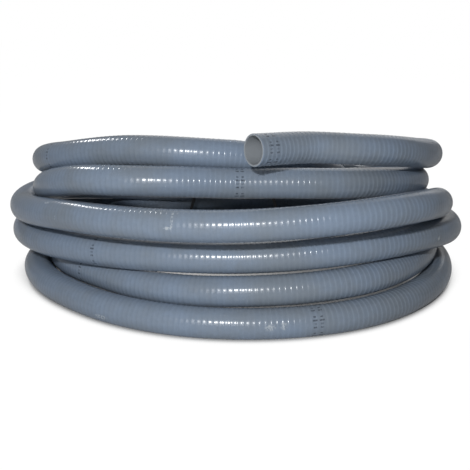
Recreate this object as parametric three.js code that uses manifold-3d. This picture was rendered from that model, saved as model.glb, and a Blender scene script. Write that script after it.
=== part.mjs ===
// One long ribbed hose of soft PVC with a rigid spiral in its wall, wound into a loose
// standing coil of six stacked rows and tied at its back. Millimetres, +Z up, the front
// of the coil towards -Y. The origin is under the middle of the coil, on the floor.
import * as THREE from 'three';
import { mergeVertices } from 'three/addons/utils/BufferGeometryUtils.js';
import Module from 'manifold-3d';

// The hose wall, from the outside in.
const hoseDiameter = 60.3; // over the rib crests
const ribHeight = 0.45;
const coverDepth = 1.2; // from a rib's crest to the cover's inside
const spiralDepth = 0.7;
const spiralWidth = 4.5;
const linerDepth = 0.8;
const layerClearance = 0.6; // between the cover, the spiral and the liner, at their corners
const ribPitch = 10.1; // from rib to rib, and the spiral's advance in one curl

// How finely the hose is divided.
const hoseSides = 6;
const stepsPerTurn = 24;
const ribCount = 200;
const spiralCurls = 40;
const cutsAtSpiral = 5; // closer rings along the spiral, so that the layers bend alike

// The coil. Its radii and heights are in hose diameters, at eight stations a turn, counted
// from the free end: front, front right, right, back right, back, back left, left, front left.
const stationsPerTurn = 8;
const turnRadius = [
  [4.31, 6.28, 6.81, 5.08, 4.54, 5.85, 7.23, 5.57],
  [4.57, 4.16, 3.76, 3.48, 3.56, 4.68, 7.01, 6.69],
  [4.77, 6.04, 7.02, 5.23, 5.57, 6.62, 7.56, 7.08],
  [7.05, 7.87, 6.94, 7.31, 6.49, 6.88, 7.78, 6.42],
  [5.77, 6.52, 7.14, 6.3, 5.02, 5.03, 6.73, 6.18],
  [6.45, 7.26, 7.25, 5.12, 4.38, 5.6, 7.07, 6.69],
  [6.68, 7.03, 7.25, 6.81, 6.11, 6.08],
];
const turnHeight = [
  [5.75, 5.05, 3.81, 3.21, 2.65, 2.52, 3.67, 4.77],
  [4.68, 4.05, 3.18, 2.57, 2.22, 2.03, 2.99, 4.48],
  [4.49, 4.04, 2.94, 2.04, 1.97, 2.15, 2.39, 3.2],
  [3.45, 3.52, 2.24, 2.15, 1.04, 1.21, 1.61, 1.71],
  [1.67, 2.07, 1.8, 1.29, 1.27, 1.51, 0.87, 1.1],
  [1.34, 1.24, 1.2, 0.49, 0.4, 0.4, 0.4, 0.4],
  [0.4, 0.4, 0.4, 0.4, 0.4, 0.4],
];
const floorRowHeight = 0.4; // the rows on the floor are pressed flat by a tenth of a diameter
const windingSteps = 159; // steps that the stations reach
const firstStep = 1; // the hose winds from this step on, after its straight free end
const lastStep = 158; // and up to this one, before its straight far end
const endRun = 1.25; // straight length at each end, in hose diameters
const flareReach = 2.66; // how far the free end swings out, in hose diameters
const flareTurns = 0.09;

// Turns that would press into each other are pushed apart, in hose diameters.
const turnSpacing = 1.05;
const settlingRounds = 160;
const evenedRounds = 128; // the last rounds only push, so that no touch is left
const samplesPerStep = 2;

// The two ties at the back.
const tieSteps = [10, 14]; // places round the coil, in steps from the front
const tieWidth = 9;
const tieThickness = 1.6;
const tieClearance = 0.45;
const tieFloorGap = 0.3; // the ties hang this far clear of the floor
const tieRoom = 0.5; // between a tie and the hose that lies over it on the floor
const tieHead = { depth: 6, width: 13, height: 15 };
const tieTail = { length: 46, lean: 0.16 };
const outlineSides = 12; // sides of the outline round one strand

const wasm = await Module();
wasm.setup();

const hoseRadius = hoseDiameter / 2;
const coverInside = hoseRadius - coverDepth;
const spiralOutside = coverInside - layerClearance;
const spiralInside = spiralOutside - spiralDepth;
const linerOutside = spiralInside - layerClearance;
const boreRadius = linerOutside - linerDepth;
const samplesPerTurn = stepsPerTurn * samplesPerStep;

// ---- The route ----

// A smooth curve through evenly spaced values (Catmull-Rom), going on straight at both ends.
function curveThrough(values, place) {
  const first = 2 * values[0] - values[1];
  const last = 2 * values[values.length - 1] - values[values.length - 2];
  const all = [first, ...values, last];
  const index = Math.min(Math.floor(place), values.length - 2);
  const share = place - index;
  const [a, b, c, d] = all.slice(index, index + 4);
  const cubic = 3 * (b - c) + d - a;
  const square = 2 * a - 5 * b + 4 * c - d + share * cubic;
  return b + 0.5 * share * (c - a + share * square);
}

// Each inner value moves to a quarter of its neighbours and half of itself.
function evened(values) {
  const last = values.length - 1;
  return values.map((value, i) => {
    if (i === 0 || i === last) return value;
    return (values[i - 1] + 2 * value + values[i + 1]) / 4;
  });
}

// Adds an evened copy of what was pushed to the places the turns started from.
function evenedPush(start, now) {
  const push = now.map((value, i) => value - start[i]);
  return evened(evened(push)).map((value, i) => start[i] + value);
}

// How much the values change from one sample to the next, along the hose.
function changes(values) {
  return values.map((_, i) => {
    const before = Math.max(i - 1, 0);
    const after = Math.min(i + 1, values.length - 1);
    return (values[after] - values[before]) / (after - before);
  });
}

// Pushes turns apart where they lie closer than the turn spacing at one place round the coil.
// What lies along the hose, where it climbs or swings outwards, doesn't count as spacing.
function settle(radius, height) {
  let r = radius;
  let z = height;
  for (let round = 0; round < settlingRounds; round += 1) {
    const nextR = [...r];
    const nextZ = [...z];
    const turnStep = (2 * Math.PI) / samplesPerTurn;
    const outRun = changes(r);
    const upRun = changes(z);
    const stepRun = outRun.map((out, i) => Math.hypot(out, upRun[i], r[i] * turnStep));
    const out = outRun.map((value, i) => value / stepRun[i]);
    const up = upRun.map((value, i) => value / stepRun[i]);
    for (let lag = samplesPerTurn; lag < r.length; lag += samplesPerTurn) {
      for (let i = 0; i + lag < r.length; i += 1) {
        const across = r[i + lag] - r[i];
        const above = z[i + lag] - z[i];
        const apart = Math.hypot(across, above);
        const along = (across * (out[i] + out[i + lag]) + above * (up[i] + up[i + lag])) / 2;
        const clear = Math.sqrt(apart ** 2 - along ** 2);
        const push = Math.max(turnSpacing - clear, 0) / 2 / apart;
        nextR[i] -= across * push;
        nextR[i + lag] += across * push;
        nextZ[i] -= above * push;
        nextZ[i + lag] += above * push;
      }
    }
    r = nextR;
    z = nextZ.map((value) => Math.max(value, floorRowHeight));
    if (round < evenedRounds) {
      r = evenedPush(radius, r);
      z = evenedPush(height, z).map((value) => Math.max(value, floorRowHeight));
    }
  }
  return { r, z };
}

// The middle of the hose at every step of the winding, with a straight run at both ends.
function hoseRoute() {
  const radius = [];
  const height = [];
  for (let i = 0; i <= windingSteps * samplesPerStep; i += 1) {
    const turns = i / samplesPerTurn;
    const place = turns * stationsPerTurn;
    const flare = flareReach * Math.max(1 - turns / flareTurns, 0) ** 2;
    radius.push(curveThrough(turnRadius.flat(), place) + flare);
    height.push(Math.max(curveThrough(turnHeight.flat(), place), floorRowHeight));
  }
  const { r, z } = settle(radius, height);
  const samples = r.map((value, i) => {
    const angle = (2 * Math.PI * i) / samplesPerTurn - Math.PI / 2;
    const point = new THREE.Vector3(value * Math.cos(angle), value * Math.sin(angle), z[i]);
    return point.multiplyScalar(hoseDiameter);
  });
  const begin = firstStep * samplesPerStep;
  const end = lastStep * samplesPerStep;
  const points = [];
  for (let i = begin; i <= end; i += samplesPerStep) points.push(samples[i]);
  const startWay = samples[begin - 1].clone().sub(samples[begin + 1]);
  const endWay = samples[end + 1].clone().sub(samples[end - 1]);
  const run = endRun * hoseDiameter;
  points.unshift(points[0].clone().addScaledVector(startWay.normalize(), run));
  points.push(points[points.length - 1].clone().addScaledVector(endWay.normalize(), run));
  return points;
}

const route = hoseRoute();
const routeLengths = [0];
for (let i = 1; i < route.length; i += 1) {
  routeLengths.push(routeLengths[i - 1] + route[i].distanceTo(route[i - 1]));
}

// The frame of the hose at a route point: along it, outwards from the coil, and up.
function frameAt(index) {
  const before = route[Math.max(index - 1, 0)];
  const after = route[Math.min(index + 1, route.length - 1)];
  const into = route[index].clone().sub(before).normalize();
  const out = after.clone().sub(route[index]).normalize();
  const along = into.add(out).normalize();
  const side = along.clone().cross(new THREE.Vector3(0, 0, 1)).normalize();
  const up = side.clone().cross(along);
  return { side, up };
}

// Which step round the coil a route point is: the straight run stands before the first.
function isTied(index) {
  return tieSteps.includes((index - 1 + firstStep) % stepsPerTurn);
}

// ---- Rings round the hose ----

const tieTop = tieFloorGap + tieThickness;
const tiedRest = tieTop + tieRoom;

// One corner of the hose at a route point, at this radius and this deep in the wall.
function cornerAt(index, side, radius, depth) {
  const frame = frameAt(index);
  const angle = (2 * Math.PI * side) / hoseSides;
  const corner = route[index].clone();
  corner.addScaledVector(frame.side, radius * Math.cos(angle));
  corner.addScaledVector(frame.up, radius * Math.sin(angle));
  const rest = isTied(index) ? tiedRest : 0;
  corner.z = Math.max(corner.z, rest + depth);
  return corner;
}

// The same corner at any length along the hose, on the straight line between two steps.
function cornerAlong(length, side, radius, depth) {
  let index = 0;
  while (index < route.length - 2 && routeLengths[index + 1] < length) index += 1;
  const stepLength = routeLengths[index + 1] - routeLengths[index];
  const share = (length - routeLengths[index]) / stepLength;
  const corner = cornerAt(index, side, radius, depth);
  return corner.lerp(cornerAt(index + 1, side, radius, depth), share);
}

function ringOf(corner) {
  return Array.from({ length: hoseSides }, (_, side) => corner(side));
}

// Where the plain rings lie along the hose: at every step, and closer where the spiral runs.
function ringLengths() {
  const spiralEnd = (spiralCurls + 1) * ribPitch;
  const lengths = [];
  for (let i = 0; i < route.length - 1; i += 1) {
    const cuts = routeLengths[i] < spiralEnd ? cutsAtSpiral : 1;
    for (let cut = 0; cut < cuts; cut += 1) {
      lengths.push(THREE.MathUtils.lerp(routeLengths[i], routeLengths[i + 1], cut / cuts));
    }
  }
  return [...lengths, routeLengths[route.length - 1]];
}

function plainRings(radius, depth) {
  return ringLengths().map((length) => {
    return ringOf((side) => cornerAlong(length, side, radius, depth));
  });
}

// The outside of the cover: a ring on each rib's crest and in each valley, then plain rings.
function ribbedRings() {
  const rings = [];
  for (let i = 0; i <= 2 * ribCount; i += 1) {
    const length = (i * ribPitch) / 2;
    const radius = i % 2 === 1 ? hoseRadius : hoseRadius - ribHeight;
    rings.push(ringOf((side) => cornerAlong(length, side, radius, 0)));
  }
  const ribbedEnd = (ribCount + 1) * ribPitch;
  const lengths = ringLengths();
  const plain = plainRings(hoseRadius, 0).filter((_, i) => lengths[i] > ribbedEnd);
  return rings.concat(plain);
}

// ---- Meshes ----

function meshOf(name, geometry, color, roughness) {
  geometry.computeVertexNormals();
  const material = new THREE.MeshStandardMaterial({ color, roughness, metalness: 0 });
  const mesh = new THREE.Mesh(geometry, material);
  mesh.name = name;
  return mesh;
}

function geometryFrom(points, faces) {
  const geometry = new THREE.BufferGeometry();
  const positions = points.flatMap((point) => point.toArray());
  geometry.setAttribute('position', new THREE.Float32BufferAttribute(positions, 3));
  geometry.setIndex(faces);
  return geometry;
}

// Faces of a skin that runs through rings of the same number of points.
function skinFaces(ringCount, sides, first, inwards) {
  const faces = [];
  for (let i = 0; i < ringCount - 1; i += 1) {
    for (let k = 0; k < sides; k += 1) {
      const a = first + i * sides + k;
      const b = first + i * sides + ((k + 1) % sides);
      const c = b + sides;
      const d = a + sides;
      faces.push(...(inwards ? [a, b, c, a, c, d] : [a, d, c, a, c, b]));
    }
  }
  return faces;
}

// A tube with a bore: an outer skin, an inner skin and a flat cut across each end.
function boredTube(outer, inner) {
  const sides = hoseSides;
  const innerFirst = outer.length * sides;
  const faces = skinFaces(outer.length, sides, 0, false);
  faces.push(...skinFaces(inner.length, sides, innerFirst, true));
  const outerLast = innerFirst - sides;
  const innerLast = innerFirst + (inner.length - 1) * sides;
  for (let k = 0; k < sides; k += 1) {
    const next = (k + 1) % sides;
    faces.push(k, next, innerFirst + next);
    faces.push(k, innerFirst + next, innerFirst + k);
    faces.push(outerLast + k, innerLast + next, outerLast + next);
    faces.push(outerLast + k, innerLast + k, innerLast + next);
  }
  return geometryFrom([...outer.flat(), ...inner.flat()], faces);
}

// ---- The sub-parts ----

function hoseCover() {
  const geometry = boredTube(ribbedRings(), plainRings(coverInside, coverDepth));
  return meshOf('hose_cover', geometry, 0x717c89, 0.28);
}

function hoseLiner() {
  const outerDepth = hoseRadius - linerOutside;
  const innerDepth = hoseRadius - boreRadius;
  const outer = plainRings(linerOutside, outerDepth);
  const geometry = boredTube(outer, plainRings(boreRadius, innerDepth));
  return meshOf('hose_liner', geometry, 0x5e6873, 0.35);
}

// The rigid spiral from the free end on: a flat band that turns one corner of the hose a step.
function reinforcingSpiral() {
  const edge = spiralWidth / 2;
  const sections = [];
  for (let i = 0; i <= spiralCurls * hoseSides; i += 1) {
    const side = i % hoseSides;
    const length = ribPitch / 2 + (i * ribPitch) / hoseSides;
    sections.push([
      cornerAlong(length - edge, side, spiralInside, 0),
      cornerAlong(length + edge, side, spiralInside, 0),
      cornerAlong(length + edge, side, spiralOutside, 0),
      cornerAlong(length - edge, side, spiralOutside, 0),
    ]);
  }
  const faces = skinFaces(sections.length, 4, 0, false);
  const last = (sections.length - 1) * 4;
  faces.push(0, 1, 2, 0, 2, 3);
  faces.push(last, last + 2, last + 1, last, last + 3, last + 2);
  return meshOf('reinforcing_spiral', geometryFrom(sections.flat(), faces), 0xd9dcdd, 0.4);
}

// The convex outline of a set of points in a plane, anticlockwise.
function convexOutline(points) {
  const sorted = [...points].sort((a, b) => a.x - b.x || a.y - b.y);
  const turnsLeft = (a, b, c) => (b.x - a.x) * (c.y - a.y) - (b.y - a.y) * (c.x - a.x) > 1e-6;
  const half = (list) => {
    const kept = [];
    list.forEach((point) => {
      while (kept.length > 1 && !turnsLeft(kept[kept.length - 2], kept[kept.length - 1], point)) {
        kept.pop();
      }
      kept.push(point);
    });
    return kept.slice(0, -1);
  };
  return [...half(sorted), ...half(sorted.reverse())];
}

// The outline round every strand at a tie, this far outside the hose and above the floor.
function outlineRound(step, outwards, reach, lowest) {
  const across = outwards.clone().cross(new THREE.Vector3(0, 0, 1));
  const corner = (hoseRadius + reach) / Math.cos(Math.PI / outlineSides);
  const points = [];
  for (let index = step + 1 - firstStep; index < route.length; index += stepsPerTurn) {
    [index - 1, index + 1].forEach((next) => {
      const way = route[next].clone().sub(route[index]).normalize();
      const middle = route[index].clone().addScaledVector(way, tieWidth / 2);
      const slanted = corner / Math.abs(way.dot(across));
      for (let side = 0; side < outlineSides; side += 1) {
        const angle = (2 * Math.PI * (side + 0.5)) / outlineSides;
        const x = middle.dot(outwards) + slanted * Math.cos(angle);
        const y = Math.max(middle.z + slanted * Math.sin(angle), lowest);
        points.push(new THREE.Vector2(x, y));
      }
    });
  }
  return convexOutline(points);
}

function solidOf(geometry) {
  geometry.deleteAttribute('normal');
  geometry.deleteAttribute('uv');
  const merged = mergeVertices(geometry, 1e-4);
  const mesh = new wasm.Mesh({
    numProp: 3,
    vertProperties: new Float32Array(merged.attributes.position.array),
    triVerts: new Uint32Array(merged.index.array),
  });
  return new wasm.Manifold(mesh);
}

function geometryOf(solid) {
  const { vertProperties, triVerts } = solid.getMesh();
  const geometry = new THREE.BufferGeometry();
  geometry.setAttribute('position', new THREE.BufferAttribute(vertProperties, 3));
  geometry.setIndex(new THREE.BufferAttribute(triVerts, 1));
  return geometry;
}

// A strap pulled round the strands in an upright plane, with its locking head and loose tail
// on the side away from the coil's middle. Drawn flat, x outwards and y up, then stood up.
function tie(name, step) {
  const angle = (2 * Math.PI * step) / stepsPerTurn - Math.PI / 2;
  const outwards = new THREE.Vector3(Math.cos(angle), Math.sin(angle), 0);
  const inner = outlineRound(step, outwards, tieClearance, tieTop);
  const outer = outlineRound(step, outwards, tieClearance + tieThickness, tieFloorGap);
  const shape = new THREE.Shape(outer);
  shape.holes.push(new THREE.Path(inner));
  const strap = new THREE.ExtrudeGeometry(shape, { depth: tieWidth, bevelEnabled: false });
  strap.translate(0, 0, -tieWidth / 2);

  const face = outer.reduce((most, point) => (point.x > most.x ? point : most));
  const headMiddle = face.y - tieHead.height / 2;
  const head = new THREE.BoxGeometry(tieHead.depth, tieHead.height, tieHead.width);
  head.translate(face.x - tieThickness / 2 + tieHead.depth / 2, headMiddle, 0);
  const tail = new THREE.BoxGeometry(tieThickness, tieTail.length, tieWidth);
  tail.translate(0, tieTail.length / 2, 0);
  tail.rotateZ(-tieTail.lean);
  tail.translate(face.x + tieHead.depth / 2, headMiddle, 0);
  const solid = solidOf(strap).add(solidOf(head)).add(solidOf(tail));

  const mesh = meshOf(name, geometryOf(solid), 0x1c1d1f, 0.5);
  const upwards = new THREE.Vector3(0, 0, 1);
  const through = outwards.clone().cross(upwards);
  mesh.applyMatrix4(new THREE.Matrix4().makeBasis(outwards, upwards, through));
  return mesh;
}

// ---- What the route measures ----

// The least distance between two stretches more than half a turn apart, less the diameter.
function leastGap() {
  const cuts = 8;
  const points = [];
  for (let i = 0; i < route.length - 1; i += 1) {
    for (let cut = 0; cut < cuts; cut += 1) {
      points.push(route[i].clone().lerp(route[i + 1], cut / cuts));
    }
  }
  const away = (cuts * stepsPerTurn) / 2;
  let least = Infinity;
  for (let i = 0; i < points.length; i += 1) {
    for (let j = i + away; j < points.length; j += 1) {
      least = Math.min(least, points[i].distanceTo(points[j]));
    }
  }
  return least - hoseDiameter;
}

const length = routeLengths[routeLengths.length - 1];
console.log(`hose length ${(length / 1000).toFixed(2)} m, bore radius ${boreRadius.toFixed(2)} mm`);
console.log(`least gap of the hose to itself ${leastGap().toFixed(2)} mm`);

const coil = new THREE.Group();
coil.add(hoseCover(), reinforcingSpiral(), hoseLiner());
coil.add(tie('tie_back_right', tieSteps[0]), tie('tie_back_left', tieSteps[1]));

// The middle of the hose's box goes over the origin.
const box = new THREE.Box3().setFromObject(coil.getObjectByName('hose_cover'));
const middle = box.getCenter(new THREE.Vector3());
coil.position.set(-middle.x, -middle.y, 0);

const model = new THREE.Group();
model.add(coil);
export default model;
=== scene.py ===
"""A loose standing coil of ribbed, spiral-reinforced flexible PVC hose, tied at its back."""
import math

import bpy
import numpy as np
from bpy.props import FloatProperty, FloatVectorProperty, IntProperty, PointerProperty
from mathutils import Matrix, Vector


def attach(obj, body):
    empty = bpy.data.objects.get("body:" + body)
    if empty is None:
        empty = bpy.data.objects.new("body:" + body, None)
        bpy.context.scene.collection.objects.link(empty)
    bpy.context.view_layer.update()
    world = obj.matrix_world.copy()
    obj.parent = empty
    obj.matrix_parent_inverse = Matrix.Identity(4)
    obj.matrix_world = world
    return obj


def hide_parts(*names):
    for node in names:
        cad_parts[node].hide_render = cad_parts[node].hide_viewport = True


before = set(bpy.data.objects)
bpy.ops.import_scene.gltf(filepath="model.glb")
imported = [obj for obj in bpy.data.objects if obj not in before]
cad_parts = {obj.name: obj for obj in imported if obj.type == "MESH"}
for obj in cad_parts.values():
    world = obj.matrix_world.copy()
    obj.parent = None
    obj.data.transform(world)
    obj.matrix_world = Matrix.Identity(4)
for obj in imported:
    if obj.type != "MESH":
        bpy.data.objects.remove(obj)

bl_info = {
    "name": "Ribbed hose coil",
    "version": (1, 0, 0),
    "blender": (4, 5, 0),
    "location": "View3D > Sidebar > Hose coil",
    "description": "Makes a loose coil of ribbed flexible hose, its ties and a plain stage",
    "category": "Add Mesh",
}

# ---- The coil's route: the same stations as the solid model ----

# Radii and heights in hose diameters, at eight stations a turn from the free end on: front,
# front right, right, back right, back, back left, left, front left. A separate least-squares
# program fitted them to the rows' edges in the photo; they weren't chosen by hand, and that
# program isn't kept with this script. The settling below keeps the turns apart.
STATIONS_PER_TURN = 8
TURN_RADIUS = [
    4.31, 6.28, 6.81, 5.08, 4.54, 5.85, 7.23, 5.57,
    4.57, 4.16, 3.76, 3.48, 3.56, 4.68, 7.01, 6.69,
    4.77, 6.04, 7.02, 5.23, 5.57, 6.62, 7.56, 7.08,
    7.05, 7.87, 6.94, 7.31, 6.49, 6.88, 7.78, 6.42,
    5.77, 6.52, 7.14, 6.3, 5.02, 5.03, 6.73, 6.18,
    6.45, 7.26, 7.25, 5.12, 4.38, 5.6, 7.07, 6.69,
    6.68, 7.03, 7.25, 6.81, 6.11, 6.08,
]
TURN_HEIGHT = [
    5.75, 5.05, 3.81, 3.21, 2.65, 2.52, 3.67, 4.77,
    4.68, 4.05, 3.18, 2.57, 2.22, 2.03, 2.99, 4.48,
    4.49, 4.04, 2.94, 2.04, 1.97, 2.15, 2.39, 3.2,
    3.45, 3.52, 2.24, 2.15, 1.04, 1.21, 1.61, 1.71,
    1.67, 2.07, 1.8, 1.29, 1.27, 1.51, 0.87, 1.1,
    1.34, 1.24, 1.2, 0.49, 0.4, 0.4, 0.4, 0.4,
    0.4, 0.4, 0.4, 0.4, 0.4, 0.4,
]
FLOOR_ROW_HEIGHT = 0.4
STEPS_PER_TURN = 24
SAMPLES_PER_STEP = 2
SAMPLES_PER_TURN = STEPS_PER_TURN * SAMPLES_PER_STEP
WINDING_STEPS = 159
FIRST_STEP = 1
LAST_STEP = 158
END_RUN = 1.25
FLARE_REACH = 2.66  # the free end's swing outwards, in diameters, over this part of a turn
FLARE_TURNS = 0.09
TURN_SPACING = 1.05
SETTLING_ROUNDS = 160
EVENED_ROUNDS = 128
SOLID_SIDES = 6
TIE_STEPS = (10, 14)
TIE_FLOOR_GAP = 0.0003
TIE_ROOM = 0.0005
TIE_RAMP = 0.09


def curve_through(values, place):
    """A smooth curve through evenly spaced values: Catmull-Rom, straight on at both ends."""
    first, last = 2 * values[0] - values[1], 2 * values[-1] - values[-2]
    every = np.concatenate([[first], values, [last]])
    index = np.minimum(np.floor(place).astype(int), len(values) - 2)
    share = place - index
    a, b, c, d = (every[index + k] for k in range(4))
    cubic = 3 * (b - c) + d - a
    square = 2 * a - 5 * b + 4 * c - d + share * cubic
    return b + 0.5 * share * (c - a + share * square)


def evened(values):
    """Every inner value becomes half of itself and a quarter of each neighbour."""
    result = values.copy()
    result[1:-1] = (values[:-2] + 2 * values[1:-1] + values[2:]) / 4
    return result


def changes(values):
    """How much the values change from one sample to the next."""
    return np.gradient(values)


def settle(radius, height):
    """Turns closer than the turn spacing at one place round the coil push each other apart.

    What lies along the hose, where it climbs or swings outwards, doesn't count as spacing."""
    r, z = radius.copy(), height.copy()
    turn_step = 2 * np.pi / SAMPLES_PER_TURN
    for settling in range(SETTLING_ROUNDS):
        move_r, move_z = np.zeros_like(r), np.zeros_like(z)
        out, up = changes(r), changes(z)
        run = np.sqrt(out ** 2 + up ** 2 + (r * turn_step) ** 2)
        out, up = out / run, up / run
        for lag in range(SAMPLES_PER_TURN, len(r), SAMPLES_PER_TURN):
            across, above = r[lag:] - r[:-lag], z[lag:] - z[:-lag]
            apart = np.hypot(across, above)
            along = (across * (out[lag:] + out[:-lag]) + above * (up[lag:] + up[:-lag])) / 2
            clear = np.sqrt(apart ** 2 - along ** 2)
            push = np.clip(TURN_SPACING - clear, 0, None) / 2 / apart
            move_r[:-lag] -= across * push
            move_r[lag:] += across * push
            move_z[:-lag] -= above * push
            move_z[lag:] += above * push
        r, z = r + move_r, np.maximum(z + move_z, FLOOR_ROW_HEIGHT)
        if settling < EVENED_ROUNDS:
            r = radius + evened(evened(r - radius))
            z = np.maximum(height + evened(evened(z - height)), FLOOR_ROW_HEIGHT)
    return r, z


def winding(diameter):
    """The middle of the hose at every sample of its winding, as points round the coil's axis."""
    sample = np.arange(WINDING_STEPS * SAMPLES_PER_STEP + 1)
    turns = sample / SAMPLES_PER_TURN
    place = turns * STATIONS_PER_TURN
    flare = FLARE_REACH * np.clip(1 - turns / FLARE_TURNS, 0, None) ** 2
    radius = curve_through(np.array(TURN_RADIUS), place) + flare
    height = np.maximum(curve_through(np.array(TURN_HEIGHT), place), FLOOR_ROW_HEIGHT)
    r, z = settle(radius, height)
    angle = 2 * np.pi * turns - np.pi / 2
    return np.stack([r * np.cos(angle), r * np.sin(angle), z], axis=1) * diameter


def unit(vectors):
    """The same directions, each one long."""
    return vectors / np.linalg.norm(vectors, axis=-1, keepdims=True)


def frames_along(points):
    """Outward and upward directions square to a path: along x Z, then outward x along."""
    into = unit(np.diff(points, axis=0, prepend=2 * points[:1] - points[1:2]))
    out = np.concatenate([into[1:], into[-1:]])
    along = unit(into + out)
    side = unit(np.cross(along, [0.0, 0.0, 1.0]))
    return side, np.cross(side, along)


def solid_middle(samples, radius):
    """Where the solid model's origin lies: the middle of the box of its six-sided outside."""
    first, last = FIRST_STEP * SAMPLES_PER_STEP, LAST_STEP * SAMPLES_PER_STEP
    run = END_RUN * 2 * radius
    points = samples[first:last + 1:SAMPLES_PER_STEP]
    start = points[0] + run * unit(samples[first - 1] - samples[first + 1])
    end = points[-1] + run * unit(samples[last + 1] - samples[last - 1])
    points = np.concatenate([[start], points, [end]])
    side, up = frames_along(points)
    angle = 2 * np.pi * np.arange(SOLID_SIDES) / SOLID_SIDES
    corners = points[:, None] + radius * (
        np.cos(angle)[None, :, None] * side[:, None] + np.sin(angle)[None, :, None] * up[:, None]
    )
    corners = corners.reshape(-1, 3)
    return (corners.min(axis=0) + corners.max(axis=0)) / 2


class Route:
    """The hose's middle line: any length along it gives a place, two directions and a rest."""

    CUTS = 12

    def __init__(self, diameter):
        samples = winding(diameter)
        first, last = FIRST_STEP * SAMPLES_PER_STEP, LAST_STEP * SAMPLES_PER_STEP
        self.middle = solid_middle(samples, diameter / 2) * [1, 1, 0]
        samples = samples - self.middle
        run = END_RUN * diameter
        start_way = unit(samples[first - 1] - samples[first + 1])
        end_way = unit(samples[last + 1] - samples[last - 1])
        shares = np.array([[1.0], [0.5]])
        start = samples[first] + run * shares * start_way
        end = samples[last] + run * shares[::-1] * end_way
        points = np.concatenate([start, samples[first:last + 1], end])
        place = np.arange((len(points) - 1) * self.CUTS + 1) / self.CUTS
        self.points = np.stack([curve_through(points[:, k], place) for k in range(3)], axis=1)
        steps = np.linalg.norm(np.diff(self.points, axis=0), axis=1)
        self.lengths = np.concatenate([[0], np.cumsum(steps)])
        self.length = self.lengths[-1]
        self.side, self.up = frames_along(self.points)
        step_samples = np.arange(FIRST_STEP, LAST_STEP + 1) * SAMPLES_PER_STEP - first + 2
        self.step_lengths = self.lengths[step_samples * self.CUTS]
        tied = np.isin(np.arange(FIRST_STEP, LAST_STEP + 1) % STEPS_PER_TURN, TIE_STEPS)
        self.tie_lengths = self.step_lengths[tied]

    def along(self, values, lengths):
        """The route's values between its points, at these lengths from the free end."""
        return np.stack([np.interp(lengths, self.lengths, values[:, k]) for k in range(3)], axis=1)

    def at(self, lengths):
        """Places, outward and upward directions at these lengths from the free end."""
        side = unit(self.along(self.side, lengths))
        return self.along(self.points, lengths), side, unit(self.along(self.up, lengths))

    def rest(self, lengths, lift):
        """How far above the floor the hose lies: over a tie by its lift, and down beside it."""
        near = np.abs(lengths[:, None] - self.tie_lengths[None, :]).min(axis=1)
        return lift * np.clip(1 - near / TIE_RAMP, 0, 1)


def length_at_step(route, step):
    """The length from the free end to a step of the winding."""
    return route.step_lengths[step - FIRST_STEP]


# ---- Meshes ----


def grid_quads(rows, columns, first=0, flipped=False):
    """Faces between rows of points that close round their columns."""
    row, column = np.meshgrid(np.arange(rows - 1), np.arange(columns), indexing="ij")
    a = first + row * columns + column
    b = first + row * columns + (column + 1) % columns
    quads = np.stack([a, a + columns, b + columns, b], axis=-1).reshape(-1, 4)
    return quads[:, ::-1] if flipped else quads


def cap_quads(first, columns):
    """Faces across a flat ring with an even number of points, in strips from side to side."""
    column = np.arange(columns // 2 - 1)
    strips = [column, column + 1, columns - 2 - column, columns - 1 - column]
    return first + np.stack(strips, axis=-1)


def facing_out(points, quads):
    """The faces of a closed mesh, turned round if the space that they enclose is negative."""
    a, b, c, d = (points[quads[:, k]] for k in range(4))
    space = (a * np.cross(b, c)).sum() + (a * np.cross(c, d)).sum()
    return quads if space > 0 else quads[:, ::-1]


def grid_uv(lengths, columns, flipped=False):
    """Length along and share round, at the corners of each face of grid_quads."""
    rows = len(lengths)
    row, column = np.meshgrid(np.arange(rows - 1), np.arange(columns), indexing="ij")
    u = np.stack([lengths[row], lengths[row + 1], lengths[row + 1], lengths[row]], axis=-1)
    v = np.stack([column, column, column + 1, column + 1], axis=-1) / columns
    uv = np.stack([u, v], axis=-1).reshape(-1, 4, 2)
    return uv[:, ::-1] if flipped else uv


def make_piece(name, points, quads, materials, uv=None, crest=None, sharp=None, bands=None,
               smooth=True):
    """A shown mesh object at the origin, from points, faces and what lies on them."""
    mesh = bpy.data.meshes.new(name)
    mesh.vertices.add(len(points))
    mesh.vertices.foreach_set("co", points.astype(np.float32).ravel())
    mesh.loops.add(quads.size)
    mesh.loops.foreach_set("vertex_index", quads.astype(np.int32).ravel())
    mesh.polygons.add(len(quads))
    mesh.polygons.foreach_set("loop_start", np.arange(0, quads.size, 4, dtype=np.int32))
    for material in materials:
        mesh.materials.append(material)
    if bands is not None:
        mesh.polygons.foreach_set("material_index", bands.astype(np.int32))
    mesh.update(calc_edges=True)
    mesh.polygons.foreach_set("use_smooth", np.full(len(quads), smooth))
    if uv is not None:
        layer = mesh.uv_layers.new(name=UV_NAME)
        layer.uv.foreach_set("vector", uv.astype(np.float32).ravel())
    if crest is not None:
        attribute = mesh.attributes.new(CREST_NAME, "FLOAT", "POINT")
        attribute.data.foreach_set("value", crest.astype(np.float32))
    if sharp is not None:
        ends = np.empty(len(mesh.edges) * 2, dtype=np.int32)
        mesh.edges.foreach_get("vertices", ends)
        marked = sharp[ends.reshape(-1, 2)]
        is_sharp = (marked[:, 0] > 0) & (marked[:, 0] == marked[:, 1])
        mesh.edges.foreach_set("use_edge_sharp", is_sharp)
    mesh.validate()
    piece = bpy.data.objects.new(name, mesh)
    bpy.context.scene.collection.objects.link(piece)
    return piece


UV_NAME = "wall"
CREST_NAME = "crest"


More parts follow.
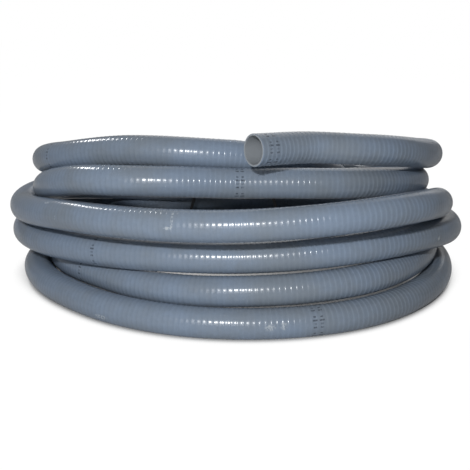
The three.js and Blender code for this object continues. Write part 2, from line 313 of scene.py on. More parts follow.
def wall_rings(route, lengths, radii, depth, columns, lift):
    """Points on rings square to the hose, no lower than the floor and this deep in the wall."""
    angle = 2 * np.pi * (np.arange(columns) + 0.5) / columns - np.pi / 2
    middle, side, up = route.at(lengths)
    spoke = (
        np.cos(angle)[None, :, None] * side[:, None] + np.sin(angle)[None, :, None] * up[:, None]
    )
    points = middle[:, None] + radii[:, None, None] * spoke
    lowest = route.rest(lengths, lift) + depth
    points[:, :, 2] = np.maximum(points[:, :, 2], lowest[:, None])
    return points.reshape(-1, 3)


def pipe_stretch(name, route, outer, inner, columns, lift, materials, crest):
    """A length of wall: an outer and an inner skin carried along the route, and two cut faces.

    outer and inner are (lengths, radii, depth). The cut faces join the skins' end rings."""
    outer_points = wall_rings(route, *outer, columns, lift)
    inner_points = wall_rings(route, *inner, columns, lift)
    rows, inner_rows = len(outer[0]), len(inner[0])
    first = rows * columns
    skins = grid_quads(rows, columns), grid_quads(inner_rows, columns, first, flipped=True)
    column = np.arange(columns)
    following = (column + 1) % columns
    last_outer, last_inner = (rows - 1) * columns, first + (inner_rows - 1) * columns
    start = np.stack([column, following, first + following, first + column], axis=-1)
    end = np.stack(
        [last_outer + following, last_outer + column, last_inner + column, last_inner + following],
        axis=-1,
    )
    quads = np.concatenate([*skins, start, end])
    end_uv = np.zeros((2 * columns, 4, 2))
    uv = np.concatenate([
        grid_uv(outer[0], columns), grid_uv(inner[0], columns, flipped=True), end_uv])
    bands = np.concatenate([
        np.zeros(len(skins[0])), np.ones(len(skins[1])), np.full(2 * columns, 2)])
    sharp = np.zeros(len(outer_points) + len(inner_points), dtype=np.int32)
    sharp[:columns] = 1
    sharp[last_outer:first] = 2
    sharp[first:first + columns] = 3
    sharp[last_inner:] = 4
    points = np.concatenate([outer_points, inner_points])
    heights = np.concatenate([np.repeat(crest, columns), np.zeros(len(inner_points))])
    return make_piece(name, points, quads, materials, uv, heights, sharp, bands)


# ---- Shaders ----


class Shade:
    """A shader socket that can be reckoned with: each sign adds one Math node to its tree."""

    def __init__(self, tree, socket):
        self.tree = tree
        self.socket = socket

    def math(self, operation, *values):
        return node(self.tree, "ShaderNodeMath", {"operation": operation}, values)

    def __add__(self, other):
        return self.math("ADD", self, other)

    def __radd__(self, other):
        return self.math("ADD", other, self)

    def __sub__(self, other):
        return self.math("SUBTRACT", self, other)

    def __rsub__(self, other):
        return self.math("SUBTRACT", other, self)

    def __mul__(self, other):
        return self.math("MULTIPLY", self, other)

    def __rmul__(self, other):
        return self.math("MULTIPLY", other, self)

    def __truediv__(self, other):
        return self.math("DIVIDE", self, other)

    def __pow__(self, other):
        return self.math("POWER", self, other)

    def wave(self):
        """Cosine of this value in turns, brought to 0 to 1."""
        return 0.5 + 0.5 * self.math("COSINE", self * (2 * math.pi))

    def fraction(self):
        return self.math("FRACT", self)

    def distance(self, place):
        return self.math("ABSOLUTE", self - place)

    def smooth(self, low, high):
        """0 below low, 1 above high and a smooth rise between; low may be the larger."""
        settings = {"interpolation_type": "SMOOTHSTEP"}
        return node(self.tree, "ShaderNodeMapRange", settings, (self, low, high, 0.0, 1.0))


def node(tree, kind, settings=None, values=(), output=0):
    """Adds a node of any kind: its settings first, then its sockets, by place or by name."""
    made = tree.nodes.new(kind)
    for key, value in (settings or {}).items():
        setattr(made, key, value)
    pairs = values.items() if isinstance(values, dict) else enumerate(values)
    for key, value in pairs:
        if isinstance(value, Shade):
            tree.links.new(value.socket, made.inputs[key])
        else:
            made.inputs[key].default_value = value
    return Shade(tree, made.outputs[output])


def mix(factor, low, high):
    """A colour between two colours."""
    tree = factor.tree
    values = {"Factor": factor, 6: low, 7: high}
    return node(tree, "ShaderNodeMix", {"data_type": "RGBA"}, values, output=2)


def noise(tree, vector, scale, detail=3.0, roughness=0.5):
    """Blender's noise at this many waves a metre."""
    values = {"Vector": vector, "Scale": scale, "Detail": detail, "Roughness": roughness}
    return node(tree, "ShaderNodeTexNoise", {}, values)


def linear(colour, light=1.0):
    """A picture colour, 0 to 255, as the linear colour that a shader takes."""
    share = np.array(colour) / 255
    value = np.where(share <= 0.04045, share / 12.92, ((share + 0.055) / 1.055) ** 2.4)
    return (*np.clip(value * light, 0, 1), 1.0)


def new_material(name):
    """An empty material with a Principled shader on its output; gives both and the tree."""
    material = bpy.data.materials.new(name)
    material.use_nodes = True
    tree = material.node_tree
    tree.nodes.clear()
    surface = tree.nodes.new("ShaderNodeBsdfPrincipled")
    output = tree.nodes.new("ShaderNodeOutputMaterial")
    tree.links.new(surface.outputs[0], output.inputs["Surface"])
    return material, tree, surface


def feed(surface, **values):
    """Sets or links the surface shader's sockets; a name's underscores stand for spaces."""
    for key, value in values.items():
        socket = surface.inputs[key.replace("_", " ")]
        if isinstance(value, Shade):
            value.tree.links.new(value.socket, socket)
        else:
            socket.default_value = value


def skin_material(look):
    """The cover's glossy blue-grey PVC: painted shade between the ribs, mottled, scuffed and
    ticked.
    """
    material, tree, surface = new_material("soft_pvc_cover")
    place = node(tree, "ShaderNodeTexCoord", output=3)
    wall = node(tree, "ShaderNodeUVMap", {"uv_map": UV_NAME})
    along = node(tree, "ShaderNodeSeparateXYZ", {}, (wall,))
    around = Shade(tree, along.socket.node.outputs[1])
    crest = node(tree, "ShaderNodeAttribute", {"attribute_name": CREST_NAME}, output=2)
    mottle = noise(tree, place, 7.0, 4.0, 0.6).smooth(0.35, 0.7)
    speck = noise(tree, place, 70.0, 5.0, 0.7).smooth(0.3, 0.75)
    grain = noise(tree, place, 420.0, 3.0, 0.6)
    colour = mix(mottle, linear(look.cover), linear(look.cover_warm))
    # Painted shade: the colour darkens towards the rib valleys, where the crest share is low.
    # Random dark specks share the same colour.
    colour = mix((1 - crest) * 0.05 + speck * 0.16, colour, linear(look.valley_shade_and_specks))
    rubbed = noise(tree, place, 26.0, 6.0, 0.75).smooth(0.72, 0.80) * 0.22
    scuffs = scuff_mask(along, around, noise(tree, place, 240.0, 4.0, 0.7).smooth(0.42, 0.6))
    scuffs = scuffs.math("MINIMUM", scuffs * 0.6 + rubbed, 1.0)
    colour = mix(scuffs, colour, linear(look.scuff))
    worn = noise(tree, place, 300.0, 4.0, 0.7).smooth(0.35, 0.5)
    colour = mix(tick_mask(along, around, worn) * 0.7, colour, linear(look.tick))
    dents = noise(tree, place, 34.0, 2.0, 0.5)
    bump = node(tree, "ShaderNodeBump", {}, {
        "Strength": 0.35, "Distance": 0.0006, "Height": grain * 0.14 + dents * 0.5})
    roughness = look.gloss + 0.06 * speck + 0.25 * scuffs
    feed(surface, Base_Color=colour, Roughness=roughness, Normal=bump, Specular_IOR_Level=0.3)
    return material


def tick_mask(along, around, worn):
    """Rows of short plain bars round the hose, of uneven length and some left out."""
    cell = around * TICKS_ROUND
    index = cell - cell.fraction()
    reach = 0.0022 + 0.0024 * (index * 0.382).wave()
    drawn = cell.fraction().distance(0.5).smooth(0.27, 0.2)
    kept = (index * 0.618).fraction().smooth(0.3, 0.35)
    bars = drawn * kept
    rows = 0.0
    for place in TICK_PLACES:
        rows = rows + along.distance(place).smooth(reach + 0.0004, reach - 0.0004)
    return rows * bars * worn


def scuff_mask(along, around, grain):
    """Soft pale patches, each at a length, a share round, and with a length and a width."""
    patches = 0.0
    for place, share, reach, width in SCUFFS:
        off = (along - place) / reach
        beside = (around - share) * (WALL_ROUND / width)
        patches = patches + (off * off + beside * beside).smooth(1.0, 0.1)
    return patches * grain


# Where the dark rows of ticks lie, and each scuff's length from the free end, share round, half
# length and half width, in metres. A separate program turned their places in the photo into
# lengths along the hose.
TICK_PLACES = (0.019, 0.034, 1.857, 4.116, 4.127, 9.048, 11.415, 14.330, 14.343)
TICKS_ROUND = 28.0
WALL_ROUND = 0.189
SCUFFS = (
    (6.171, 0.396, 0.010, 0.004), (6.213, 0.243, 0.004, 0.005), (6.467, 0.330, 0.003, 0.024),
    (6.460, 0.252, 0.009, 0.004), (14.250, 0.257, 0.012, 0.010), (14.274, 0.271, 0.008, 0.010),
    (8.916, 0.076, 0.004, 0.006), (13.929, 0.188, 0.018, 0.006), (9.756, 0.229, 0.006, 0.006),
    (3.30, 0.300, 0.030, 0.020), (12.70, 0.350, 0.024, 0.012),
)


def plain_material(name, colour, roughness, scale, strength):
    """A moulded plastic with a fine grain and slightly uneven colour."""
    material, tree, surface = new_material(name)
    place = node(tree, "ShaderNodeTexCoord", output=3)
    uneven = noise(tree, place, scale, 4.0, 0.6)
    shade = mix(uneven, linear(colour, 0.86), linear(colour, 1.1))
    bump = node(tree, "ShaderNodeBump", {}, {
        "Strength": strength, "Distance": 0.0004, "Height": noise(tree, place, 600.0)})
    feed(surface, Base_Color=shade, Roughness=roughness + 0.12 * uneven, Normal=bump)
    return material


def tie_material(look):
    """Black nylon with fine ribs across the band and dull wear in random patches."""
    material, tree, surface = new_material("tie_nylon")
    place = node(tree, "ShaderNodeTexCoord", output=3)
    height = Shade(tree, node(tree, "ShaderNodeSeparateXYZ", {}, (place,)).socket.node.outputs[2])
    ribs = (height / TIE_RIB).wave()
    worn = noise(tree, place, 160.0, 5.0, 0.7).smooth(0.5, 0.75)
    colour = mix(worn * 0.6, linear(look.tie), linear(look.tie, 2.2))
    bump = node(tree, "ShaderNodeBump", {}, {
        "Strength": 0.5, "Distance": 0.0003,
        "Height": ribs * 0.6 + noise(tree, place, 700.0) * 0.3})
    feed(surface, Base_Color=colour, Roughness=0.38 + 0.2 * worn, Normal=bump)
    return material


TIE_RIB = 0.0016


# ---- Settings ----

HOSE_DIAMETER = 0.0603


class HoseSizes(bpy.types.PropertyGroup):
    """The hose wall's sizes."""

    diameter: FloatProperty(name="Diameter", description="Over the rib crests",
                            default=HOSE_DIAMETER, unit="LENGTH", subtype="DISTANCE")
    bore: FloatProperty(name="Bore", description="Inside diameter",
                        default=0.0525, unit="LENGTH", subtype="DISTANCE")
    rib_pitch: FloatProperty(name="Rib pitch", description="From one rib to the next",
                             default=0.0101, unit="LENGTH", subtype="DISTANCE")
    rib_height: FloatProperty(name="Rib height", description="A crest above the valleys",
                              default=0.00034, unit="LENGTH", subtype="DISTANCE")
    columns: IntProperty(name="Columns", description="Points round one ring", default=36)
    spiral_width: FloatProperty(name="Spiral width", description="Width of the rigid spiral",
                                default=0.0045, unit="LENGTH", subtype="DISTANCE")
    spiral_curls: IntProperty(name="Spiral curls", description="Curls drawn from the free end",
                              default=40)


class TieSizes(bpy.types.PropertyGroup):
    """The ties' sizes."""

    width: FloatProperty(name="Width", description="Width of the strap",
                         default=0.009, unit="LENGTH", subtype="DISTANCE")
    thickness: FloatProperty(name="Thickness", description="Thickness of the strap",
                             default=0.0016, unit="LENGTH", subtype="DISTANCE")
    clearance: FloatProperty(name="Clearance", description="From the hose to the strap",
                             default=0.00045, unit="LENGTH", subtype="DISTANCE")
    head_depth: FloatProperty(name="Head depth", description="Outwards from the strap",
                              default=0.006, unit="LENGTH", subtype="DISTANCE")
    head_width: FloatProperty(name="Head width", description="Across the strap",
                              default=0.013, unit="LENGTH", subtype="DISTANCE")
    head_height: FloatProperty(name="Head height", description="Along the strap",
                               default=0.015, unit="LENGTH", subtype="DISTANCE")
    tail: FloatProperty(name="Tail", description="Length of the loose end",
                        default=0.046, unit="LENGTH", subtype="DISTANCE")
    tail_lean: FloatProperty(name="Tail lean", description="The tail's lean outwards",
                             default=0.16, subtype="ANGLE")


def colour_property(name, description, colour):
    """A picture colour, 0 to 255 a channel."""
    return FloatVectorProperty(name=name, description=description, size=3, default=colour,
                               min=0.0, max=255.0)


class CoilLook(bpy.types.PropertyGroup):
    """The finishes' colours, as picture colours from 0 to 255, and the gloss."""

    cover: colour_property("Cover", "The hose's blue-grey", (114.0, 128.0, 146.0))
    cover_warm: colour_property("Cover, duller", "Duller patches", (111.0, 120.0, 130.0))
    # Painted shade in the rib valleys; also the colour of the random dark specks.
    valley_shade_and_specks: colour_property("Cover, valleys", "Between the ribs", (84.0, 94.0, 106.0))
    bore: colour_property("Bore", "The inside", (124.0, 129.0, 134.0))
    cut: colour_property("Cut face", "The cut end", (138.0, 144.0, 150.0))
    spiral: colour_property("Spiral", "The rigid spiral", (215.0, 218.0, 218.0))
    tie: colour_property("Tie", "The ties", (34.0, 35.0, 38.0))
    scuff: colour_property("Scuff", "Pale scuffs", (170.0, 176.0, 180.0))
    tick: colour_property("Tick", "Dark dashes", (40.0, 44.0, 52.0))
    gloss: FloatProperty(name="Roughness", description="The cover's roughness", default=0.19)


class StageLook(bpy.types.PropertyGroup):
    """The camera's place, fitted with the route in hose diameters, and the lamps' strengths."""

    camera_away: FloatProperty(name="Away", description="Camera to the coil's axis",
                               default=32.04 * HOSE_DIAMETER, unit="LENGTH", subtype="DISTANCE")
    camera_high: FloatProperty(name="High", description="Camera above the floor",
                               default=10.89 * HOSE_DIAMETER, unit="LENGTH", subtype="DISTANCE")
    pitch: FloatProperty(name="Pitch", description="Camera's downward tilt",
                         default=math.radians(16.89), subtype="ANGLE")
    focus: FloatProperty(name="Focal length", description="In pixels of the picture",
                         default=877.0)
    world: FloatProperty(name="World", description="Strength of the even light", default=0.06)
    soft: FloatProperty(name="Soft", description="Power of the wide front lamp", default=9.6)
    key: FloatProperty(name="Key", description="Power of the small front lamp", default=34.0)
    back: FloatProperty(name="Back", description="Power of the wide lamp behind", default=24.0)
    top: FloatProperty(name="Top", description="Power of the small lamps behind", default=6.0)


class HoseCoilSettings(bpy.types.PropertyGroup):
    """Every group of settings of the hose coil."""

    hose: PointerProperty(type=HoseSizes)
    ties: PointerProperty(type=TieSizes)
    look: PointerProperty(type=CoilLook)
    stage: PointerProperty(type=StageLook)


def settings():
    """The scene's settings of the hose coil."""
    return bpy.context.scene.hose_coil


def hose_route():
    """The route is worked out once for a diameter and kept."""
    diameter = settings().hose.diameter
    if diameter not in routes:
        routes[diameter] = Route(diameter)
    return routes[diameter]


routes = {}


def tie_lift():
    """How far a tie under the hose holds it above the floor."""
    return TIE_FLOOR_GAP + settings().ties.thickness + TIE_ROOM


# ---- The pieces ----


class HOSECOIL_OT_cover(bpy.types.Operator):
    """Makes the ribbed cover, one stretch for about each turn of the coil"""

    bl_idname = "hosecoil.cover"
    bl_label = "Hose cover"

    # One rib: shares of the pitch and of the rib's height, steep first and then sloping off.
    RIB_PLACES = np.array([0.0, 0.04, 0.10, 0.16, 0.30, 0.44, 0.58, 0.76])
    RIB_SHARES = np.array([0.0, 0.12, 0.75, 1.0, 0.95, 0.72, 0.28, 0.05])
    INSIDE_DEPTH = 0.0012
    LIP_DEPTH = 0.0029
    LIP = 0.0015
    CHAMFER = 0.0005
    INNER_SPACING = 0.02

    def rib_rings(self, hose, first_rib, last_rib, length):
        """Ring places and radii from one valley to another, and each ring's height share."""
        rib = np.arange(first_rib, last_rib)[:, None]
        places = ((rib + self.RIB_PLACES) * hose.rib_pitch).ravel()
        shares = np.tile(self.RIB_SHARES, last_rib - first_rib)
        keep = places < length
        places = np.append(places[keep], min(last_rib * hose.rib_pitch, length))
        shares = np.append(shares[keep], 0.0)
        return places, shares

    def stretch(self, route, hose, index, first_rib, last_rib):
        """One piece of the cover, from one rib to another, with a cut face at a hose's end."""
        radius = hose.diameter / 2
        lengths, shares = self.rib_rings(hose, first_rib, last_rib, route.length)
        radii = radius - hose.rib_height * (1 - shares)
        inner = np.arange(lengths[0], lengths[-1], self.INNER_SPACING)[:-1]
        inner = np.append(inner, lengths[-1])
        inner_radii = np.full(len(inner), radius - self.INSIDE_DEPTH)
        for at_end, is_cut in ((0, first_rib == 0), (-1, lengths[-1] >= route.length)):
            if is_cut:
                lengths, radii, shares = self.chamfered(lengths, radii, shares, at_end)
                inner, inner_radii = self.lipped(inner, inner_radii, radius, at_end)
        outer = (lengths, radii, 0.0)
        inside = (inner, inner_radii, self.INSIDE_DEPTH)
        return pipe_stretch(f"hose_cover_{index}", route, outer, inside, hose.columns,
                            tie_lift(), self.materials, shares)

    def chamfered(self, lengths, radii, shares, at_end):
        """The sharp outer edge of a cut end is broken by one narrow ring."""
        step = self.CHAMFER if at_end == 0 else -self.CHAMFER
        place = 1 if at_end == 0 else len(lengths) - 1
        lengths = np.insert(lengths, place, lengths[at_end] + step)
        radii = np.insert(radii, place, radii[at_end])
        radii[at_end] -= self.CHAMFER
        return lengths, radii, np.insert(shares, place, 0.0)

    def lipped(self, lengths, radii, radius, at_end):
        """At a cut end the wall is solid down to the liner for a short way."""
        step = self.LIP if at_end == 0 else -self.LIP
        place = 1 if at_end == 0 else len(lengths) - 1
        lengths = np.insert(lengths, place, [lengths[at_end] + step])
        radii = np.insert(radii, place, radius - self.LIP_DEPTH)
        radii[at_end] = radius - self.LIP_DEPTH
        return lengths, radii

    def execute(self, context):
        hose, look, route = settings().hose, settings().look, hose_route()
        inside = plain_material("soft_pvc_inside", look.bore, 0.4, 40.0, 0.1)
        cut = plain_material("soft_pvc_cut", look.cut, 0.5, 90.0, 0.25)
        self.materials = [skin_material(look), inside, cut]
        steps = range(STEPS_PER_TURN + TIE_STEPS[0], LAST_STEP - STEPS_PER_TURN, STEPS_PER_TURN)
        ribs = [int(round(length_at_step(route, step) / hose.rib_pitch)) for step in steps]
        bounds = [0, *ribs, int(math.ceil(route.length / hose.rib_pitch))]
        for index, (first, last) in enumerate(zip(bounds[:-1], bounds[1:]), start=1):
            piece = self.stretch(route, hose, index, first, last)
            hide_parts("hose_cover")
            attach(piece, "root")
        return {"FINISHED"}


class HOSECOIL_OT_spiral(bpy.types.Operator):
    """Makes the rigid spiral inside the wall, from the free end on"""

    bl_idname = "hosecoil.spiral"
    bl_label = "Rigid spiral"

    STEPS = 20
    OUTER_DEPTH = 0.0014
    INNER_DEPTH = 0.0028
    START = 0.0045

    def execute(self, context):
        """Each section is a flat four-cornered band that turns round the hose as it advances."""
        hose, look, route = settings().hose, settings().look, hose_route()
        step = np.arange(hose.spiral_curls * self.STEPS + 1)
        angle = 2 * np.pi * step / self.STEPS
        lengths = self.START + hose.rib_pitch * step / self.STEPS
        radius = hose.diameter / 2
        corners = []
        half = hose.spiral_width / 2
        for shift, depth in ((-half, self.INNER_DEPTH), (half, self.INNER_DEPTH),
                             (half, self.OUTER_DEPTH), (-half, self.OUTER_DEPTH)):
            middle, side, up = route.at(lengths + shift + half)
            spoke = np.cos(angle)[:, None] * side + np.sin(angle)[:, None] * up
            corners.append(middle + (radius - depth) * spoke)
        points = np.stack(corners, axis=1).reshape(-1, 3)
        last = len(points) - 4
        ends = np.array([[0, 1, 2, 3], [last + 3, last + 2, last + 1, last]])
        quads = np.concatenate([grid_quads(len(step), 4), ends])
        material = plain_material("rigid_pvc", look.spiral, 0.35, 60.0, 0.1)
        piece = make_piece("spiral_in_wall", points, quads, [material], smooth=False)
        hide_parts("reinforcing_spiral")
        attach(piece, "root")
        return {"FINISHED"}


class HOSECOIL_OT_liner(bpy.types.Operator):
    bl_idname = "hosecoil.liner"
    bl_label = "Hose liner"

    SPACING = 0.02
    OUTSIDE_DEPTH = 0.00305
    BACK = 0.0006
    PATH_SPACING = 0.03

    def execute(self, context):
        hose, look, route = settings().hose, settings().look, hose_route()
        radius = hose.diameter / 2
        count = int(route.length / self.SPACING)
        lengths = np.linspace(self.BACK, route.length - self.BACK, count)
        outer = (lengths, np.full(count, radius - self.OUTSIDE_DEPTH), self.OUTSIDE_DEPTH)
        wall = radius - hose.bore / 2
        inner = (lengths, np.full(count, hose.bore / 2), wall)
        material = plain_material("soft_pvc_bore", look.bore, 0.35, 30.0, 0.1)
        piece = pipe_stretch("hose_bore", route, outer, inner, hose.columns, tie_lift(),
                             [material] * 3, np.zeros(count))
        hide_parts("hose_liner")
        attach(piece, "root")
        path_lengths = np.linspace(0, route.length, int(route.length / self.PATH_SPACING))
        path = route.along(route.points, path_lengths)
        return {"FINISHED"}


class HOSECOIL_OT_ties(bpy.types.Operator):
    """Makes the two ties round the turns at the back, each with its head and toothed tail"""

    bl_idname = "hosecoil.ties"
    bl_label = "Ties"

    OUTLINE = 72
    # A band's section: share of its thickness from the inside, share of its half width.
    SECTION = np.array([(0.0, -0.84), (0.0, 0.84), (0.3, 1.0), (0.7, 1.0),
                        (1.0, 0.84), (1.0, -0.84), (0.7, -1.0), (0.3, -1.0)])
    HEAD_ROWS = 17
    HEAD_COLUMNS = 40
    HEAD_SQUARENESS = 7.0
    TOOTH = 0.0016
    TOOTH_DEPTH = 0.3
    TIP = 0.012

    def strands(self, route, step, outwards, across, width):
        """Middles and slants of every strand at both edges of a tie, outwards and up."""
        places, slants = [], []
        for one in range(step, LAST_STEP + 1, STEPS_PER_TURN):
            length = length_at_step(route, one)
            for shift in (-width / 2, width / 2):
                middle = route.along(route.points, np.array([length + shift]))[0]
                ahead = route.along(route.points, np.array([length + shift + 0.002]))[0]
                places.append((middle @ outwards, middle[2]))
                slants.append(1 / abs(unit(ahead - middle) @ across))
        return np.array(places), np.array(slants)

    def outline(self, places, slants, radius, lowest):
        """The convex outline round circles at the strands, cut level with the floor below.

        In each direction the outline's tangent lies at the largest reach of any circle; the
        points where neighbouring tangents meet are the outline. Points below the floor's
        level move up to it, the first ones to where the outline crosses it."""
        angle = 2 * np.pi * np.arange(self.OUTLINE) / self.OUTLINE
        ways = np.stack([np.cos(angle), np.sin(angle)], axis=1)
        reach = (places @ ways.T + (radius * slants)[:, None]).max(axis=0)
        following = np.roll(np.arange(self.OUTLINE), -1)
        turn = 2 * np.pi / self.OUTLINE
        tangent = np.stack([-ways[:, 1], ways[:, 0]], axis=1)
        run = (reach[following] - reach * math.cos(turn)) / math.sin(turn)
        points = reach[:, None] * ways + run[:, None] * tangent
        under = points[:, 1] < lowest
        level = points.copy()
        level[under, 1] = lowest
        for step in (-1, 1):
            beside = np.roll(points, step, axis=0)
            first = np.flatnonzero(under & ~np.roll(under, step))
            share = (lowest - points[first, 1]) / (beside[first, 1] - points[first, 1])
            level[first, 0] += share * (beside[first, 0] - points[first, 0])
        return level

    def band(self, inner, outer, half_width):
        """The section carried along two lines in a plane, the inner and the outer face's."""
        share, side = self.SECTION.T
        flat = inner[:, None] + (outer - inner)[:, None] * share[None, :, None]
        across = side[None, :] * half_width[:, None]
        return np.concatenate([flat, across[:, :, None]], axis=2).reshape(-1, 3)

    def strap(self, inner, outer, width):
        """A band that closes on itself round the strands."""
        rings, corners = self.OUTLINE, len(self.SECTION)
        points = self.band(inner, outer, np.full(rings, width / 2))
        ring = np.append(np.arange(rings), 0)[:, None] * corners
        corner, following = np.arange(corners), (np.arange(corners) + 1) % corners
        here, there = ring[:-1], ring[1:]
        quads = np.stack([here + corner, here + following, there + following, there + corner],
                         axis=-1)
        return points, quads.reshape(-1, 4)

    def head(self, middle, ties):
        """A block with rounded edges: a ball whose roundness is raised to a high power."""
        share = 2 / self.HEAD_SQUARENESS
        tilt = np.linspace(-0.495, 0.495, self.HEAD_ROWS)[:, None] * np.pi
        angle = 2 * np.pi * (np.arange(self.HEAD_COLUMNS) + 0.5)[None, :] / self.HEAD_COLUMNS

        def squared(value):
            return np.sign(value) * np.abs(value) ** share

        out = squared(np.sin(tilt)) + 0 * angle
        up = squared(np.cos(tilt)) * squared(np.sin(angle))
        across = squared(np.cos(tilt)) * squared(np.cos(angle))
        half = np.array([ties.head_depth, ties.head_height, ties.head_width]) / 2
        points = np.stack([out, up, across], axis=-1).reshape(-1, 3) * half
        last = (self.HEAD_ROWS - 1) * self.HEAD_COLUMNS
        quads = np.concatenate([
            grid_quads(self.HEAD_ROWS, self.HEAD_COLUMNS),
            cap_quads(0, self.HEAD_COLUMNS)[:, ::-1], cap_quads(last, self.HEAD_COLUMNS)])
        return points + [middle[0], middle[1], 0.0], quads

    def tail(self, start, ties):
        """A strip that leans outwards, with saw teeth on its inside and a narrow tip."""
        tooth = np.arange(int(ties.tail / self.TOOTH))[:, None]
        along = ((tooth + np.array([0.0, 0.15])) * self.TOOTH).ravel()
        along = np.append(along, ties.tail)
        depth = np.append(np.tile([0.0, self.TOOTH_DEPTH], len(tooth)), 0.5)
        left = np.clip((ties.tail - along) / self.TIP, 0, 1)
        way = np.array([math.sin(ties.tail_lean), math.cos(ties.tail_lean)])
        out = np.array([way[1], -way[0]])
        line = np.array(start) + along[:, None] * way
        inner = line + ((depth - 0.5) * ties.thickness)[:, None] * out
        outer = line + (0.5 * ties.thickness) * out
        points = self.band(inner, outer, ties.width / 2 * (0.55 + 0.45 * left ** 0.5))
        corners = len(self.SECTION)
        quads = np.concatenate([
            grid_quads(len(along), corners), cap_quads(0, corners)[:, ::-1],
            cap_quads((len(along) - 1) * corners, corners)])
        return points, quads

    def execute(self, context):
        """Each part is drawn flat, outwards and up, then stood up across the coil."""
        hose, ties, look, route = (
            settings().hose, settings().ties, settings().look, hose_route())
        material = tie_material(look)
        for name, step in zip(("tie_back_right", "tie_back_left"), TIE_STEPS):
            angle = 2 * math.pi * step / STEPS_PER_TURN - math.pi / 2
            outwards = np.array([math.cos(angle), math.sin(angle), 0.0])
            upwards = np.array([0.0, 0.0, 1.0])
            across = np.cross(outwards, upwards)
            places, slants = self.strands(route, step, outwards, across, ties.width)
            radius = hose.diameter / 2 + ties.clearance
            inner = self.outline(places, slants, radius, TIE_FLOOR_GAP + ties.thickness)
            outer = self.outline(places, slants, radius + ties.thickness, TIE_FLOOR_GAP)
            face = outer[outer[:, 0] > outer[:, 0].max() - 1e-6]
            face = face[face[:, 1].argmax()]
            middle = face + [(ties.head_depth - ties.thickness) / 2, -ties.head_height / 2]
            start = face + [ties.head_depth / 2, -ties.head_height / 2]
            shapes = {"strap": self.strap(inner, outer, ties.width),
                      "head": self.head(middle, ties), "tail": self.tail(start, ties)}
            basis = np.stack([outwards, upwards, across])
            plane = across * (across @ -route.middle)
            for part, (points, quads) in shapes.items():
                points = points @ basis + plane
                piece = make_piece(f"{name}_{part}", points, facing_out(points, quads),
                                   [material], smooth=part != "tail")
                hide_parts(name)
                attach(piece, "root")
        return {"FINISHED"}


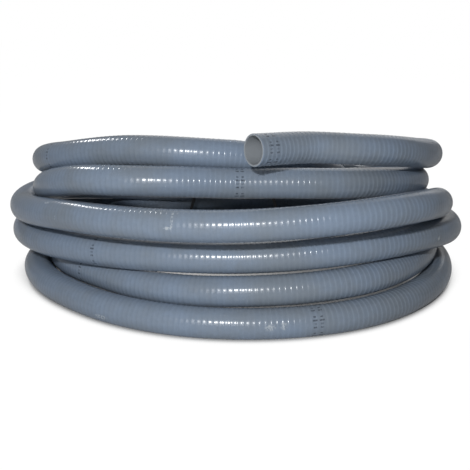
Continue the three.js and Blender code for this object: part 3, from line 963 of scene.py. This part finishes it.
class HOSECOIL_OT_stage(bpy.types.Operator):
    """Makes the camera, the lamps, the even light and the pale floor"""

    bl_idname = "hosecoil.stage"
    bl_label = "Stage"

    SENSOR = 36.0
    PICTURE = 470
    CAMERA_LEFT = 0.064  # in hose diameters
    TARGET = (0.0, 0.0, 0.12)
    FLOOR_REACH = 6.0
    FLOOR_DROP = 0.0002
    FLOOR_GREY = (0.5, 0.5, 0.5, 1.0)
    GLOW = 1.03
    MOST_GLOW = 0.97
    SHADE_REACH = 0.8
    CONTACT_REACH = 0.1
    MIRRORED = 0.25

    def camera(self, stage, middle):
        """The camera stands in front of the coil, a little to the left, and looks down."""
        data = bpy.data.cameras.new("camera")
        data.sensor_width = self.SENSOR
        data.lens = stage.focus * self.SENSOR / self.PICTURE
        camera = bpy.data.objects.new("camera", data)
        shift = self.CAMERA_LEFT * settings().hose.diameter
        camera.location = (-shift - middle[0], -stage.camera_away - middle[1], stage.camera_high)
        camera.rotation_euler = (math.pi / 2 - stage.pitch, 0.0, 0.0)
        bpy.context.scene.collection.objects.link(camera)
        bpy.context.scene.camera = camera

    def lamp(self, name, direction, distance, size, power, target):
        """A square lamp that faces the coil from this direction."""
        data = bpy.data.lights.new(name, "AREA")
        data.energy = power
        data.size = size
        lamp = bpy.data.objects.new(name, data)
        towards = Vector(direction).normalized()
        lamp.location = Vector(target) + towards * distance
        lamp.rotation_mode = "QUATERNION"
        lamp.rotation_quaternion = towards.to_track_quat("Z", "Y")
        bpy.context.scene.collection.objects.link(lamp)

    def background_rays(self, tree):
        """1 for what the camera sees itself, and a share of it for what gloss or glass shows."""
        rays = tree.nodes.new("ShaderNodeLightPath")
        seen = Shade(tree, rays.outputs["Is Camera Ray"])
        for ray in ("Is Glossy Ray", "Is Transmission Ray"):
            seen = seen.math("MAXIMUM", seen, Shade(tree, rays.outputs[ray]) * self.MIRRORED)
        return seen

    def world(self, strength):
        """Even light of this strength; white to the camera, and paler in gloss than in light."""
        world = bpy.data.worlds.new("studio")
        bpy.context.scene.world = world
        world.use_nodes = True
        tree = world.node_tree
        tree.nodes.clear()
        white = self.background_rays(tree)
        level = node(tree, "ShaderNodeMath", {"operation": "MULTIPLY_ADD"},
                     (white, 1.0 - strength, strength))
        shown = node(tree, "ShaderNodeBackground", {}, {"Color": (1, 1, 1, 1), "Strength": level})
        output = tree.nodes.new("ShaderNodeOutputWorld")
        tree.links.new(shown.socket, output.inputs["Surface"])

    def floor(self):
        """A wide pale floor: white to the camera in the open, with painted shade under and in the
        coil.
        """
        corners = np.array([[-1, -1, 0], [1, -1, 0], [1, 1, 0], [-1, 1, 0]])
        points = corners * self.FLOOR_REACH - [0, 0, self.FLOOR_DROP]
        material, tree, surface = new_material("pale_floor")
        feed(surface, Base_Color=self.FLOOR_GREY, Roughness=0.9)
        glow = node(tree, "ShaderNodeEmission", {},
                    {"Color": (1, 1, 1, 1), "Strength": self.GLOW})
        place = node(tree, "ShaderNodeTexCoord", output=3)
        away = node(tree, "ShaderNodeVectorMath", {"operation": "LENGTH"}, (place,), output=1)
        # Painted shade: occlusion and the coil's radius dim the white glow, so the grey floor's
        # real lamp light and shadow show under and inside the coil.
        near, wide = (
            node(tree, "ShaderNodeAmbientOcclusion", {"samples": 16}, {"Distance": reach}, output=1)
            for reach in (self.CONTACT_REACH, self.SHADE_REACH))  # 1 in the open, 0 shut in
        painted_shade = away.smooth(0.43, 0.38) * wide.smooth(0.8, 0.42)
        seen = (1 - painted_shade) * near.smooth(0.2, 0.7) * self.background_rays(tree)
        share = seen * self.MOST_GLOW
        blend = node(tree, "ShaderNodeMixShader", {},
                     (share, Shade(tree, surface.outputs[0]), glow))
        output = next(one for one in tree.nodes if one.type == "OUTPUT_MATERIAL")
        tree.links.new(blend.socket, output.inputs["Surface"])
        floor = make_piece("floor", points, np.array([[0, 1, 2, 3]]), [material])

    def execute(self, context):
        """Each lamp is a direction seen from the coil, a distance, a width and a power."""
        stage, route = settings().stage, hose_route()
        self.camera(stage, route.middle)
        target = self.TARGET
        self.lamp("soft_front", (-0.14, -0.94, 0.30), 2.0, 0.85, stage.soft, target)
        self.lamp("key", (-0.10, -0.91, 0.41), 2.4, 0.09, stage.key, target)
        self.lamp("soft_back", (0.20, 0.80, 0.55), 3.2, 3.0, stage.back, target)
        self.lamp("top_near", (-0.62, 0.42, 0.78), 2.2, 0.07, stage.top, target)
        self.lamp("top_far", (-0.62, 0.58, 0.70), 2.2, 0.07, stage.top, target)
        self.world(stage.world)
        self.floor()
        context.scene.view_settings.view_transform = "Standard"
        return {"FINISHED"}


class HOSECOIL_PT_panel(bpy.types.Panel):
    """The hose coil's pieces and settings"""

    bl_label = "Hose coil"
    bl_idname = "HOSECOIL_PT_panel"
    bl_space_type = "VIEW_3D"
    bl_region_type = "UI"
    bl_category = "Hose coil"

    def draw(self, context):
        layout = self.layout
        for operator in OPERATORS:
            layout.operator(operator.bl_idname)
        for group in (settings().hose, settings().ties, settings().look, settings().stage):
            box = layout.box()
            for name in group.__annotations__:
                box.prop(group, name)


OPERATORS = (HOSECOIL_OT_stage, HOSECOIL_OT_cover, HOSECOIL_OT_spiral, HOSECOIL_OT_liner,
             HOSECOIL_OT_ties)
CLASSES = (HoseSizes, TieSizes, CoilLook, StageLook, HoseCoilSettings, *OPERATORS,
           HOSECOIL_PT_panel)


def register():
    for one in CLASSES:
        bpy.utils.register_class(one)
    bpy.types.Scene.hose_coil = PointerProperty(type=HoseCoilSettings)


def unregister():
    del bpy.types.Scene.hose_coil
    for one in reversed(CLASSES):
        bpy.utils.unregister_class(one)


def main():
    register()
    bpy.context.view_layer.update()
    bpy.ops.hosecoil.stage()
    bpy.ops.hosecoil.cover()
    bpy.ops.hosecoil.spiral()
    bpy.ops.hosecoil.liner()
    bpy.ops.hosecoil.ties()


if __name__ == "__main__":
    main()
